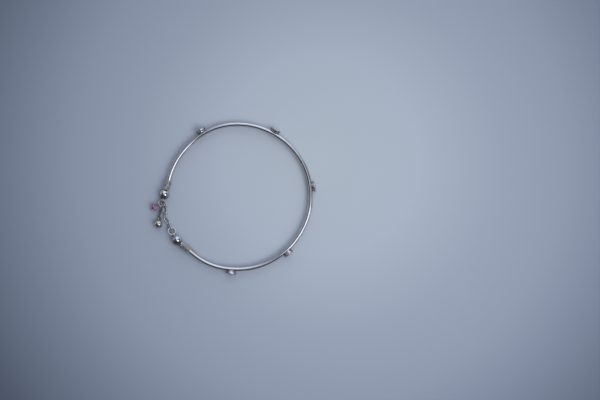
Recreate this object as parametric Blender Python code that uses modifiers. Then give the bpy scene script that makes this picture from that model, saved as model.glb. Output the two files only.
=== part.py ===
"""A closed bangle anklet, lying flat.

A springy round rod makes about five sixths of a circle, with flared button studs soldered to its
outer side. Each end of the rod carries a collar of wound wire and a ball with an eye. A short
chain, an S-hook and a ring close the gap, and a crystal and a small bell hang beside it.
Lengths are in metres. Until the last step the hoop's centre is the origin, and +Z is up.
"""

import math

import bmesh
import bpy
from mathutils import Matrix, Vector

# Clearances
FIT_GAP = 0.0002  # between a bore and what runs in it
LINK_GAP = 0.00038  # between two wires that hold each other
FLOOR_GAP = 0.0001  # under the pieces that lie beside the hoop

# Hoop
HOOP_RADIUS = 0.0400
ROD_RADIUS = 0.0012
ROD_SIDES = 12
ARC_STEP_DEG = 3.0
UPPER_END_DEG = 166.3
LOWER_END_DEG = -131.8
UPPER_FLARE_DEG = 4.2
LOWER_FLARE_DEG = 1.2
# Where the hand-bent rod leaves the true circle: angle in degrees, way outward as a share of the radius
BENDS = (
    (-132.0, 0.008),
    (-115.0, 0.012),
    (-85.0, 0.000),
    (-40.0, -0.008),
    (0.0, 0.000),
    (22.0, 0.006),
    (60.0, 0.000),
    (105.0, 0.006),
    (143.0, -0.009),
    (167.0, -0.010),
)

# Studs
STUD_ANGLES_DEG = (119.6, 60.8, 7.7, -48.5, -95.4)
STUD_SIDES = 16
STUD_RIM_RADIUS = 0.0029
STUD_BASE_RADIUS = 0.0021
STUD_HEIGHT = 0.0017
STUD_RIM_THICKNESS = 0.0010
STUD_DOME = 0.0002
STUD_DOME_SHARE = 0.55  # of the rim, where the dome begins to fall away
STUD_CORNER_SHARE = 0.25  # of the rim's thickness, rounded at its edges
STUD_SINK = 0.0004  # how far the base is let into the rod

# Sleeves
SLEEVE_WIRE = 0.0006
SLEEVE_SIDES = 14
SLEEVE_GROOVE_SHARE = 0.28  # of the wire's thickness, how deep the groove between two turns reads
SLEEVE_FLAT_SHARE = 0.4  # of each turn's width, at the full radius
UPPER_SLEEVE_LENGTH = 0.0058
LOWER_SLEEVE_LENGTH = 0.0069
TAIL_LENGTH = 0.0042
TAIL_LIFT_DEG = 8.0
TAIL_STANDOFF = 0.0001  # how far the tail stands off beyond the coil
TAIL_THINNING = 0.9  # the tail's thickness as a share of the wire's

# End balls
BALL_RADIUS = 0.00275
BALL_SIDES = 16
PIN_RADIUS = 0.0006
EYE_RADIUS = 0.00135  # to the middle of the wire, as every ring radius here
EYE_WIRE = 0.0006
EYE_STANDOFF = 0.0006  # from the ball's skin to the eye's centre
# How far each eye stands round its ball from the rod's line, towards the chain
UPPER_EYE_TURN_DEG = 9.0
LOWER_EYE_TURN_DEG = 20.0

# Closing chain
LINK_WIRE = 0.00062
LINK_LENGTH = 0.00485
LINK_WIDTH = 0.0032
LINK_LEAN_DEG = 53.5
FIRST_LINK_LEAN_DEG = 5.0
HOOK_WIRE = 0.00068
HOOK_RADIUS = 0.00114
HOOK_OPENING_DEG = 55.0
HOOK_LEAN_DEG = 56.0
CLOSING_RING_RADIUS = 0.0020
CLOSING_RING_WIRE = 0.0007
CLOSING_RING_LEAN_DEG = -18.0
# The chain's way from eye to eye: along and aside as shares of that distance, lift as one of the height
ROUTE = (
    (0.00, 0.000, 1.00),
    (0.20, 0.039, 0.05),
    (0.365, 0.055, 0.03),
    (0.515, 0.096, 0.04),
    (0.65, 0.059, 0.00),
    (0.83, 0.043, 0.43),
    (1.00, 0.000, 1.00),
)

# Charms
CHARM_RING_RADIUS = 0.00175
CHARM_RING_WIRE = 0.00065
CRYSTAL_RADIUS = 0.0021
CRYSTAL_LENGTH = 0.0036
CRYSTAL_FACETS = 8
CRYSTAL_TABLE_SHARE = 0.52  # radius of the table at each end, as a share of the girdle's
CRYSTAL_SHOULDER_SHARE = 0.88
CRYSTAL_SHOULDER_HEIGHT = 0.52  # as a share of the way from girdle to table
CRYSTAL_PIN_WIRE = 0.0005
CRYSTAL_LOOP_RADIUS = 0.00095
CRYSTAL_HEAD_RADIUS = 0.0005
BELL_LINK_WIRE = 0.00055
BELL_LINK_LENGTH = 0.0076
BELL_LINK_WIDTH = 0.0024
BELL_RING_RADIUS = 0.00125
BELL_RING_WIRE = 0.0005
BELL_RADIUS = 0.00235
BELL_WALL = 0.0004
BELL_SIDES = 16
BELL_LOOP_RADIUS = 0.0009
BELL_LOOP_WIRE = 0.0005
BELL_LOOP_STANDOFF = 0.6  # from the bell's skin to its loop's centre, as a share of the loop's radius
BELL_SLIT_WIDTH = 0.0006
BELL_SLIT_HOLE_RADIUS = 0.0005
BELL_SLIT_REACH = 0.65  # half the slit's length, as a share of the bell's radius

# How each charm lies: turn from the line between the eyes, slope and roll, all in degrees
CHARM_RING_POSE = (-44.0, 0.0, 0.0)
CRYSTAL_POSE = (-73.0, -20.4, 85.0)
BELL_LINK_POSE = (-27.0, -16.6, -78.0)
BELL_RING_POSE = (-22.0, -13.0, 42.0)
BELL_POSE = (-27.0, 23.0, -59.0)
CRYSTAL_SEAT_DEG = 43.0  # where on the charm ring each charm hangs, from its far end
BELL_SEAT_DEG = -14.0

# Fineness of the faceted pieces
WIRE_SIDES = 6
BEND_STEPS = 8  # along the half circle at a link's end
RING_STEPS = 20
BALL_STEPS = 10  # from pole to pole
ROUTE_STEPS = 600
PIN_SIDES = 10
HEAD_STEPS = 6
TAIL_STEPS = 4

UP = Vector((0.0, 0.0, 1.0))
HOOP_HEIGHT = STUD_RIM_RADIUS * math.cos(math.pi / STUD_SIDES)
SLEEVE_BORE_RADIUS = ROD_RADIUS + FIT_GAP
SLEEVE_RADIUS = SLEEVE_BORE_RADIUS + SLEEVE_WIRE


# Scene and materials


def clear_scene():
    for obj in list(bpy.data.objects):
        bpy.data.objects.remove(obj, do_unlink=True)


def collection(name):
    made = bpy.data.collections.new(name)
    bpy.context.scene.collection.children.link(made)
    return made


def metal(name, colour, roughness):
    material = bpy.data.materials.new(name)
    material.use_nodes = True
    shader = material.node_tree.nodes["Principled BSDF"]
    shader.inputs["Base Color"].default_value = (*colour, 1.0)
    shader.inputs["Metallic"].default_value = 1.0
    shader.inputs["Roughness"].default_value = roughness
    return material


def cut_glass(name, colour):
    material = bpy.data.materials.new(name)
    material.use_nodes = True
    shader = material.node_tree.nodes["Principled BSDF"]
    shader.inputs["Base Color"].default_value = (*colour, 1.0)
    shader.inputs["Metallic"].default_value = 0.0
    shader.inputs["Roughness"].default_value = 0.03
    shader.inputs["IOR"].default_value = 1.54
    shader.inputs["Transmission Weight"].default_value = 0.7
    return material


# Shapes


def finish_mesh(bm, name, smooth=True):
    mesh = bpy.data.meshes.new(name)
    bm.to_mesh(mesh)
    bm.free()
    if smooth:
        mesh.shade_smooth()
        mesh.set_sharp_from_angle(angle=math.radians(50.0))
    return mesh


def wire_mesh(name, points, radius, sides=WIRE_SIDES, closed=False):
    """A round wire along the points, with its end caps welded on."""
    curve = bpy.data.curves.new(name, "CURVE")
    curve.dimensions = "3D"
    curve.bevel_depth = radius
    curve.bevel_resolution = (sides - 4) // 2
    curve.use_fill_caps = not closed
    spline = curve.splines.new("POLY")
    spline.points.add(len(points) - 1)
    for slot, point in zip(spline.points, points):
        slot.co = (*point, 1.0)
    spline.use_cyclic_u = closed
    guide = bpy.data.objects.new(name, curve)
    bpy.context.scene.collection.objects.link(guide)
    evaluated = guide.evaluated_get(bpy.context.evaluated_depsgraph_get())
    raw = bpy.data.meshes.new_from_object(evaluated)
    bpy.data.objects.remove(guide)
    bpy.data.curves.remove(curve)
    bm = bmesh.new()
    bm.from_mesh(raw)
    bpy.data.meshes.remove(raw)
    bmesh.ops.remove_doubles(bm, verts=bm.verts, dist=radius * 0.01)
    bmesh.ops.recalc_face_normals(bm, faces=bm.faces)
    return finish_mesh(bm, name)


def turned(name, profile, sides):
    """An object turned about its own Z, from (radius, height) points that run down its outer side."""
    bm = bmesh.new()
    verts = [bm.verts.new((radius, 0.0, height)) for radius, height in profile]
    for first, second in zip(verts, verts[1:]):
        bm.edges.new((first, second))
    mesh = bpy.data.meshes.new(name)
    bm.to_mesh(mesh)
    bm.free()
    obj = bpy.data.objects.new(name, mesh)
    screw = obj.modifiers.new("turn", "SCREW")
    screw.steps = sides
    screw.render_steps = sides
    screw.use_merge_vertices = True
    screw.merge_threshold = 0.00001
    return obj


def arc(radius, start_deg, end_deg, steps, centre=(0.0, 0.0)):
    """Points of a circle's arc, as (x, y) pairs, ends included."""
    points = []
    for step in range(steps + 1):
        angle = math.radians(start_deg + (end_deg - start_deg) * step / steps)
        points.append((centre[0] + radius * math.cos(angle), centre[1] + radius * math.sin(angle)))
    return points


def flat_path(pairs):
    return [Vector((x, y, 0.0)) for x, y in pairs]


def oval_path(length, width):
    """A closed link's middle line in its own XY plane, long side along X."""
    bend = width / 2
    straight = length / 2 - bend
    right = arc(bend, -90.0, 90.0, BEND_STEPS, (straight, 0.0))
    left = arc(bend, 90.0, 270.0, BEND_STEPS, (-straight, 0.0))
    return flat_path(right + left)


def ring_path(radius):
    return flat_path(arc(radius, 0.0, 360.0, RING_STEPS)[:-1])


def hook_path():
    """The S-hook's middle line: two part circles that meet at its centre."""
    upper = arc(HOOK_RADIUS, -90.0 + HOOK_OPENING_DEG, 270.0, RING_STEPS, (0.0, HOOK_RADIUS))
    lower = arc(HOOK_RADIUS, 90.0, -270.0 + HOOK_OPENING_DEG, RING_STEPS, (0.0, -HOOK_RADIUS))
    # Turned so that the hook's length lies along X, as a link's does
    return flat_path((y, -x) for x, y in upper + lower[1:])


def lying_frame(direction, roll_deg):
    """Axes of a flat piece: X along the direction, Y to its left, lifted by the roll."""
    x = direction.normalized()
    left = UP.cross(x).normalized()
    y = Matrix.Rotation(math.radians(roll_deg), 3, x) @ left
    return Matrix((x, y, x.cross(y))).transposed()


def placed(centre, axes):
    return Matrix.Translation(centre) @ axes.to_4x4()


def axis_frame(direction, roll_deg=0.0):
    """Axes of a turned piece: Z along the direction, X rolled about it."""
    z = direction.normalized()
    x = Matrix.Rotation(math.radians(roll_deg), 3, z) @ UP.cross(z).normalized()
    return Matrix((x, z.cross(x), z)).transposed()


def heading(azimuth_deg, slope_deg):
    azimuth = math.radians(azimuth_deg)
    slope = math.radians(slope_deg)
    flat = Vector((math.cos(azimuth), math.sin(azimuth), 0.0))
    return flat * math.cos(slope) + UP * math.sin(slope)


def azimuth_of(direction):
    return math.degrees(math.atan2(direction.y, direction.x))


# Layout of the hoop and its ends


def bend_share(angle_deg):
    """How far outward the rod stands at an angle, eased between the rows of BENDS."""
    if angle_deg <= BENDS[0][0]:
        return BENDS[0][1]
    for (start, first), (end, second) in zip(BENDS, BENDS[1:]):
        if angle_deg <= end:
            ease = 0.5 - 0.5 * math.cos(math.pi * (angle_deg - start) / (end - start))
            return first + (second - first) * ease
    return BENDS[-1][1]


def hoop_point(angle_deg):
    radius = HOOP_RADIUS * (1.0 + bend_share(angle_deg))
    angle = math.radians(angle_deg)
    return Vector((radius * math.cos(angle), radius * math.sin(angle), HOOP_HEIGHT))


class RodEnd:
    """Places along one straight end of the rod, from the end of the arc outward."""

    def __init__(self, angle_deg, turn, flare_deg, sleeve_length, eye_turn_deg):
        self.start = hoop_point(angle_deg)
        azimuth = angle_deg + turn * (90.0 - flare_deg)
        self.direction = heading(azimuth, 0.0)
        self.eye_direction = heading(azimuth + turn * eye_turn_deg, 0.0)
        self.sleeve_length = sleeve_length
        seat = math.sqrt(BALL_RADIUS**2 - SLEEVE_BORE_RADIUS**2)
        self.ball_along = sleeve_length + FIT_GAP + seat
        self.rod_along = self.ball_along - seat - 2 * FIT_GAP
        self.ball = self.at(self.ball_along)
        self.eye = self.ball + self.eye_direction * (BALL_RADIUS + EYE_STANDOFF)

    def at(self, along):
        return self.start + self.direction * along


UPPER = RodEnd(UPPER_END_DEG, 1.0, UPPER_FLARE_DEG, UPPER_SLEEVE_LENGTH, UPPER_EYE_TURN_DEG)
LOWER = RodEnd(LOWER_END_DEG, -1.0, LOWER_FLARE_DEG, LOWER_SLEEVE_LENGTH, LOWER_EYE_TURN_DEG)
ENDS = (("upper", UPPER), ("lower", LOWER))

# In the upper eye the charm ring's wire passes over the first link's
EYE_SHARE = (LINK_WIRE + CHARM_RING_WIRE) / 4 + LINK_GAP / 2
CHAIN_START = UPPER.eye - UP * EYE_SHARE
CHARM_START = UPPER.eye + UP * EYE_SHARE
EYE_REACH = EYE_RADIUS - (EYE_WIRE + CLOSING_RING_WIRE) / 2 - LINK_GAP
CHAIN_END = LOWER.eye + LOWER.eye_direction * EYE_REACH
GAP_AZIMUTH = azimuth_of(CHAIN_END - CHAIN_START)


# Layout of the chain


def hold(wire):
    """From the middle of a wire to the middle of the gap before its neighbour."""
    return (wire + LINK_GAP) / 2


def catmull(values, share):
    """A smooth value between the middle two of four."""
    before, first, second, after = values
    return 0.5 * (
        2 * first
        + (second - before) * share
        + (2 * before - 5 * first + 4 * second - after) * share**2
        + (3 * first - before - 3 * second + after) * share**3
    )


def route_row(share):
    """The ROUTE columns at a share of the way, smoothed between its rows."""
    place = share * (len(ROUTE) - 1)
    row = min(int(place), len(ROUTE) - 2)
    near = [ROUTE[max(0, min(len(ROUTE) - 1, row + step))] for step in (-1, 0, 1, 2)]
    return [catmull([columns[i] for columns in near], place - row) for i in range(3)]


def taut_pitch():
    """From joint to joint of links that are drawn tight."""
    return LINK_LENGTH - LINK_WIRE - 2 * hold(LINK_WIRE)


def spans(pitch, count):
    """From joint to joint along the chain: its links, the hook and the closing ring."""
    hook = 4 * HOOK_RADIUS - 2 * hold(HOOK_WIRE)
    ring = 2 * CLOSING_RING_RADIUS - hold(CLOSING_RING_WIRE)
    return [pitch + hold(LINK_WIRE)] + [pitch] * (count - 1) + [hook, ring]


def route():
    """Close points of the chain's route, which dips from each eye to the floor."""
    line = CHAIN_END - CHAIN_START
    aside = Vector((line.y, -line.x, 0.0)).normalized() * line.length
    half_width = (LINK_WIDTH - LINK_WIRE) / 2
    lying = half_width * math.sin(math.radians(LINK_LEAN_DEG)) + LINK_WIRE / 2 + FLOOR_GAP
    points = []
    for step in range(ROUTE_STEPS + 1):
        along, away, lift = route_row(step / ROUTE_STEPS)
        point = CHAIN_START + line * along + aside * away
        point.z = lying + (CHAIN_START.z + line.z * along - lying) * max(0.0, lift)
        points.append(point)
    return points


def walk(points, lengths):
    """Joints laid off along the points, length after length, and how far the last lies beyond the end."""
    joints = [points[0]]
    place = 0
    for length in lengths:
        while place < len(points) - 1 and (points[place] - joints[-1]).length < length:
            place += 1
        joints.append(joints[-1] + (points[place] - joints[-1]).normalized() * length)
    end = (points[-1] - points[-2]).normalized()
    return joints, (joints[-1] - points[-1]).dot(end)


def link_count():
    """The fewest links that reach the far eye when they are drawn tight."""
    points = route()
    count = 1
    while walk(points, spans(taut_pitch(), count))[1] < 0.0:
        count += 1
    return count


def chain_joints(count):
    """Where each piece of the chain meets its neighbours, its links pushed together to fit the route."""
    points = route()
    low = 0.0
    high = taut_pitch()
    for _ in range(40):
        pitch = (low + high) / 2
        if walk(points, spans(pitch, count))[1] > 0.0:
            high = pitch
        else:
            low = pitch
    joints = walk(points, spans(high, count))[0]
    joints[-1] = CHAIN_END
    return joints


# Layout of the charms


def charm_direction(pose):
    return heading(GAP_AZIMUTH + pose[0], pose[1])


def charm_axes(pose):
    return lying_frame(charm_direction(pose), pose[2])


def next_hold(wire_point, direction, wire, next_wire):
    """The near wire of a piece that hangs from wire_point in a direction."""
    return wire_point - direction * (wire / 2 + next_wire / 2 + LINK_GAP)


class Charms:
    """Centres and axes of the charm ring and of what hangs from it."""

    def __init__(self):
        self.ring_axes = charm_axes(CHARM_RING_POSE)
        self.ring = CHARM_START + self.ring_axes.col[0] * CHARM_RING_RADIUS

        seat = self.ring_seat(CRYSTAL_SEAT_DEG)
        self.crystal_direction = charm_direction(CRYSTAL_POSE)
        near = next_hold(seat, self.crystal_direction, CHARM_RING_WIRE, CRYSTAL_PIN_WIRE)
        self.crystal_loop = near + self.crystal_direction * CRYSTAL_LOOP_RADIUS
        self.crystal_axes = charm_axes(CRYSTAL_POSE)

        seat = self.ring_seat(BELL_SEAT_DEG)
        self.link_axes = charm_axes(BELL_LINK_POSE)
        direction = self.link_axes.col[0]
        near = next_hold(seat, direction, CHARM_RING_WIRE, BELL_LINK_WIRE)
        far = near + direction * (BELL_LINK_LENGTH - BELL_LINK_WIRE)
        self.link = (near + far) / 2

        self.bell_ring_axes = charm_axes(BELL_RING_POSE)
        direction = self.bell_ring_axes.col[0]
        near = next_hold(far, direction, BELL_LINK_WIRE, BELL_RING_WIRE)
        self.bell_ring = near + direction * BELL_RING_RADIUS
        far = near + direction * 2 * BELL_RING_RADIUS

        self.bell_direction = charm_direction(BELL_POSE)
        near = next_hold(far, self.bell_direction, BELL_RING_WIRE, BELL_LOOP_WIRE)
        self.bell_loop = near + self.bell_direction * BELL_LOOP_RADIUS
        self.bell_axes = charm_axes(BELL_POSE)
        standoff = BELL_RADIUS + BELL_LOOP_RADIUS * BELL_LOOP_STANDOFF
        self.bell = self.bell_loop + self.bell_direction * standoff

    def ring_seat(self, angle_deg):
        angle = math.radians(angle_deg)
        across = self.ring_axes.col[0] * math.cos(angle) - self.ring_axes.col[1] * math.sin(angle)
        return self.ring + across * CHARM_RING_RADIUS


# Building


class Builder:
    """Adds finished pieces to the anklet, and helper shapes to the hidden collection."""

    def __init__(self):
        self.parts = collection("anklet")
        self.helpers = collection("helpers")
        self.root = bpy.data.objects.new("anklet_origin", None)
        self.parts.objects.link(self.root)

    def piece(self, obj, material, matrix=None):
        self.parts.objects.link(obj)
        obj.parent = self.root
        obj.matrix_local = matrix or Matrix.Identity(4)
        obj.data.materials.append(material)
        return obj

    def mesh_piece(self, name, mesh, material, matrix=None):
        return self.piece(bpy.data.objects.new(name, mesh), material, matrix)

    def helper(self, obj, matrix=None):
        self.helpers.objects.link(obj)
        obj.parent = self.root
        obj.matrix_local = matrix or Matrix.Identity(4)
        obj.hide_render = True
        obj.display_type = "WIRE"
        return obj

    def combine(self, obj, helper, operation="UNION"):
        modifier = obj.modifiers.new(helper.name, "BOOLEAN")
        modifier.operation = operation
        modifier.object = helper
        modifier.solver = "EXACT"

    def centre_on_floor(self):
        """Moves the whole model so that the middle of its base is at the origin."""
        bpy.context.view_layer.update()
        graph = bpy.context.evaluated_depsgraph_get()
        corners = []
        for obj in self.parts.objects:
            if obj.type == "MESH":
                evaluated = obj.evaluated_get(graph)
                corners += [obj.matrix_world @ vert.co for vert in evaluated.data.vertices]
        low = [min(corner[i] for corner in corners) for i in range(3)]
        high = [max(corner[i] for corner in corners) for i in range(3)]
        self.root.location = (-(low[0] + high[0]) / 2, -(low[1] + high[1]) / 2, -low[2])
        bpy.context.view_layer.update()


def stud_profile():
    top = ROD_RADIUS + STUD_HEIGHT
    rim_low = top - STUD_RIM_THICKNESS
    base = ROD_RADIUS - STUD_SINK
    corner = STUD_RIM_THICKNESS * STUD_CORNER_SHARE
    return (
        (0.0, top + STUD_DOME),
        (STUD_RIM_RADIUS * STUD_DOME_SHARE, top + STUD_DOME * (1.0 - STUD_DOME_SHARE**2)),
        (STUD_RIM_RADIUS - corner, top),
        (STUD_RIM_RADIUS, top - corner),
        (STUD_RIM_RADIUS, rim_low + corner),
        (STUD_RIM_RADIUS - corner, rim_low),
        (STUD_BASE_RADIUS + corner, rim_low - corner),
        (STUD_BASE_RADIUS, base + corner),
        (STUD_BASE_RADIUS - corner, base),
        (0.0, base),
    )


def build_hoop(builder, silver):
    count = round((UPPER_END_DEG - LOWER_END_DEG) / ARC_STEP_DEG)
    step = (UPPER_END_DEG - LOWER_END_DEG) / count
    path = [LOWER.at(LOWER.rod_along)]
    path += [hoop_point(LOWER_END_DEG + step * number) for number in range(count + 1)]
    path.append(UPPER.at(UPPER.rod_along))
    mesh = wire_mesh("hoop", path, ROD_RADIUS, ROD_SIDES)
    hoop = builder.mesh_piece("hoop", mesh, silver)
    for number, angle in enumerate(STUD_ANGLES_DEG, 1):
        stud = turned(f"stud_{number}", stud_profile(), STUD_SIDES)
        outward = heading(angle, 0.0)
        # Half a facet's turn sets one flat of the rim on the floor
        builder.helper(stud, placed(hoop_point(angle), axis_frame(outward, 180.0 / STUD_SIDES)))
        builder.combine(hoop, stud)
    for name, end in ENDS:
        path = [end.at(end.rod_along - ROD_RADIUS), end.ball]
        pin = bpy.data.objects.new(f"{name}_pin", wire_mesh(f"{name}_pin", path, PIN_RADIUS, PIN_SIDES))
        builder.combine(hoop, builder.helper(pin))


def sleeve_profile(length):
    """A tube whose outer side shows each turn of the wound wire."""
    turns = round(length / SLEEVE_WIRE)
    pitch = length / turns
    slope = pitch * (1.0 - SLEEVE_FLAT_SHARE) / 2
    groove = SLEEVE_RADIUS - SLEEVE_WIRE * SLEEVE_GROOVE_SHARE
    profile = [(SLEEVE_BORE_RADIUS, length), (groove, length)]
    for turn in range(turns):
        top = length - turn * pitch
        profile.append((SLEEVE_RADIUS, top - slope))
        profile.append((SLEEVE_RADIUS, top - pitch + slope))
        profile.append((groove, top - pitch))
    return profile + [(SLEEVE_BORE_RADIUS, 0.0), (SLEEVE_BORE_RADIUS, length)]


def tail_path():
    """The wound wire's end, which leaves the lower sleeve and lies along the rod's inner side."""
    offset = SLEEVE_BORE_RADIUS + SLEEVE_WIRE / 2 + TAIL_STANDOFF
    sweep = math.degrees(TAIL_LENGTH / HOOP_RADIUS)
    # A heading with a slope, seen from the rod: towards the hoop's middle and upward
    path = [LOWER.at(SLEEVE_WIRE * 2) + heading(LOWER_END_DEG + 180.0, TAIL_LIFT_DEG) * offset]
    for step in range(TAIL_STEPS + 1):
        angle = LOWER_END_DEG + sweep * step / TAIL_STEPS
        path.append(hoop_point(angle) + heading(angle + 180.0, TAIL_LIFT_DEG) * offset)
    return path


def build_sleeves(builder, wound_silver):
    for name, end in ENDS:
        sleeve = turned(f"{name}_sleeve", sleeve_profile(end.sleeve_length), SLEEVE_SIDES)
        builder.piece(sleeve, wound_silver, placed(end.start, axis_frame(end.direction)))
        if end is LOWER:
            mesh = wire_mesh("wire_tail", tail_path(), SLEEVE_WIRE * TAIL_THINNING / 2)
            tail = bpy.data.objects.new("wire_tail", mesh)
            builder.combine(sleeve, builder.helper(tail))


def ball_profile():
    """A ball with a blind bore up to its middle, open downward."""
    bore = PIN_RADIUS + FIT_GAP
    mouth = math.degrees(math.asin(bore / BALL_RADIUS)) - 90.0
    outer = [(0.0, BALL_RADIUS)] + arc(BALL_RADIUS, 90.0, mouth, BALL_STEPS)[1:]
    return outer + [(bore, FIT_GAP), (0.0, FIT_GAP)]


def build_balls(builder, silver):
    for name, end in ENDS:
        ball = turned(f"{name}_ball", ball_profile(), BALL_SIDES)
        builder.piece(ball, silver, placed(end.ball, axis_frame(end.direction)))
        mesh = wire_mesh(f"{name}_eye", ring_path(EYE_RADIUS), EYE_WIRE / 2, closed=True)
        eye = bpy.data.objects.new(f"{name}_eye", mesh)
        builder.helper(eye, placed(end.eye, lying_frame(end.eye_direction, 90.0)))
        builder.combine(ball, eye)


def build_links(builder, silver, joints, count):
    length = LINK_LENGTH - LINK_WIRE
    link_mesh = wire_mesh("chain_link", oval_path(length, LINK_WIDTH - LINK_WIRE), LINK_WIRE / 2, closed=True)
    for number in range(count):
        start = joints[number]
        end = joints[number + 1]
        direction = (end - start).normalized()
        middle = (start + end) / 2
        lean = LINK_LEAN_DEG
        if number == 0:
            # The first link's own wire starts in the eye, not the gap before it
            middle = start + direction * length / 2
            lean = FIRST_LINK_LEAN_DEG
        if (count - number) % 2:
            lean = -lean
        link = bpy.data.objects.new(f"chain_link_{number + 1}", link_mesh.copy())
        builder.piece(link, silver, placed(middle, lying_frame(direction, lean)))


def build_chain(builder, silver):
    count = link_count()
    joints = chain_joints(count)
    build_links(builder, silver, joints, count)

    hook_start, ring_start, ring_end = joints[count:]
    mesh = wire_mesh("s_hook", hook_path(), HOOK_WIRE / 2)
    axes = lying_frame(ring_start - hook_start, HOOK_LEAN_DEG)
    builder.mesh_piece("s_hook", mesh, silver, placed((hook_start + ring_start) / 2, axes))

    direction = (ring_end - ring_start).normalized()
    middle = ring_end - direction * CLOSING_RING_RADIUS
    path = ring_path(CLOSING_RING_RADIUS)
    mesh = wire_mesh("closing_ring", path, CLOSING_RING_WIRE / 2, closed=True)
    axes = lying_frame(direction, CLOSING_RING_LEAN_DEG)
    builder.mesh_piece("closing_ring", mesh, silver, placed(middle, axes))


def crystal_mesh():
    """A cut bead about its Z axis: a flat table at each end and rows of facets between."""
    table = CRYSTAL_LENGTH / 2
    shoulder = table * CRYSTAL_SHOULDER_HEIGHT
    # Radius, height, and turn as a share of one facet
    rows = (
        (CRYSTAL_RADIUS * CRYSTAL_TABLE_SHARE, table, 0.0),
        (CRYSTAL_RADIUS * CRYSTAL_SHOULDER_SHARE, shoulder, 0.5),
        (CRYSTAL_RADIUS, 0.0, 0.0),
        (CRYSTAL_RADIUS * CRYSTAL_SHOULDER_SHARE, -shoulder, 0.5),
        (CRYSTAL_RADIUS * CRYSTAL_TABLE_SHARE, -table, 0.0),
    )
    bm = bmesh.new()
    for radius, height, turn in rows:
        for facet in range(CRYSTAL_FACETS):
            angle = 2 * math.pi * (facet + turn) / CRYSTAL_FACETS
            bm.verts.new((radius * math.cos(angle), radius * math.sin(angle), height))
    bmesh.ops.convex_hull(bm, input=bm.verts)
    bmesh.ops.dissolve_limit(bm, angle_limit=math.radians(1.0), verts=bm.verts, edges=bm.edges)
    return finish_mesh(bm, "crystal", smooth=False)


def build_crystal(builder, charms, glass, silver):
    direction = charms.crystal_direction
    near_end = CRYSTAL_LOOP_RADIUS + CRYSTAL_PIN_WIRE / 2 + FIT_GAP
    middle = charms.crystal_loop + direction * (near_end + CRYSTAL_LENGTH / 2)
    frame = placed(middle, axis_frame(direction, 180.0 / CRYSTAL_FACETS))
    crystal = builder.mesh_piece("crystal", crystal_mesh(), glass, frame)
    line = [Vector((0.0, 0.0, -CRYSTAL_LENGTH)), Vector((0.0, 0.0, CRYSTAL_LENGTH))]
    bore = wire_mesh("crystal_bore", line, CRYSTAL_PIN_WIRE / 2 + FIT_GAP, PIN_SIDES)
    cutter = builder.helper(bpy.data.objects.new("crystal_bore", bore), frame)
    builder.combine(crystal, cutter, "DIFFERENCE")

    path = ring_path(CRYSTAL_LOOP_RADIUS)
    mesh = wire_mesh("crystal_pin", path, CRYSTAL_PIN_WIRE / 2, closed=True)
    pin = builder.mesh_piece("crystal_pin", mesh, silver, placed(charms.crystal_loop, charms.crystal_axes))
    far_end = near_end + CRYSTAL_LENGTH + FIT_GAP
    head_centre = charms.crystal_loop + direction * (far_end + CRYSTAL_HEAD_RADIUS)
    line = [charms.crystal_loop + direction * CRYSTAL_LOOP_RADIUS, head_centre]
    stem = bpy.data.objects.new("crystal_stem", wire_mesh("crystal_stem", line, CRYSTAL_PIN_WIRE / 2, 8))
    builder.combine(pin, builder.helper(stem))
    head = turned("crystal_head", arc(CRYSTAL_HEAD_RADIUS, 90.0, -90.0, HEAD_STEPS), PIN_SIDES)
    builder.combine(pin, builder.helper(head, placed(head_centre, axis_frame(direction))))


def build_bell(builder, charms, silver):
    bell_frame = placed(charms.bell, axis_frame(-charms.bell_direction))
    bell = turned("bell", arc(BELL_RADIUS, 90.0, -90.0, BALL_STEPS), BELL_SIDES)
    builder.piece(bell, silver, bell_frame)
    hollow = turned("bell_hollow", arc(BELL_RADIUS - BELL_WALL, 90.0, -90.0, BALL_STEPS), BELL_SIDES)
    builder.combine(bell, builder.helper(hollow, bell_frame), "DIFFERENCE")

    bm = bmesh.new()
    bmesh.ops.create_cube(bm, size=1.0)
    size = (BELL_RADIUS * BELL_SLIT_REACH * 2, BELL_SLIT_WIDTH, BELL_RADIUS)
    bmesh.ops.scale(bm, vec=size, verts=bm.verts)
    slit = bpy.data.objects.new("bell_slit", finish_mesh(bm, "bell_slit", smooth=False))
    below = bell_frame @ Matrix.Translation((0.0, 0.0, -BELL_RADIUS))
    builder.combine(bell, builder.helper(slit, below), "DIFFERENCE")
    for side in (-1, 1):
        x = side * BELL_RADIUS * BELL_SLIT_REACH
        line = [Vector((x, 0.0, 0.0)), Vector((x, 0.0, -BELL_RADIUS * 2))]
        mesh = wire_mesh("bell_hole", line, BELL_SLIT_HOLE_RADIUS, PIN_SIDES)
        hole = bpy.data.objects.new(f"bell_hole_{side}", mesh)
        builder.combine(bell, builder.helper(hole, bell_frame), "DIFFERENCE")

    mesh = wire_mesh("bell_loop", ring_path(BELL_LOOP_RADIUS), BELL_LOOP_WIRE / 2, closed=True)
    loop = bpy.data.objects.new("bell_loop", mesh)
    builder.combine(bell, builder.helper(loop, placed(charms.bell_loop, charms.bell_axes)))


def build_charms(builder, silver, glass):
    charms = Charms()
    mesh = wire_mesh("charm_ring", ring_path(CHARM_RING_RADIUS), CHARM_RING_WIRE / 2, closed=True)
    builder.mesh_piece("charm_ring", mesh, silver, placed(charms.ring, charms.ring_axes))
    path = oval_path(BELL_LINK_LENGTH - BELL_LINK_WIRE, BELL_LINK_WIDTH - BELL_LINK_WIRE)
    mesh = wire_mesh("bell_link", path, BELL_LINK_WIRE / 2, closed=True)
    builder.mesh_piece("bell_link", mesh, silver, placed(charms.link, charms.link_axes))
    mesh = wire_mesh("bell_ring", ring_path(BELL_RING_RADIUS), BELL_RING_WIRE / 2, closed=True)
    builder.mesh_piece("bell_ring", mesh, silver, placed(charms.bell_ring, charms.bell_ring_axes))
    build_crystal(builder, charms, glass, silver)
    build_bell(builder, charms, silver)


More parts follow.
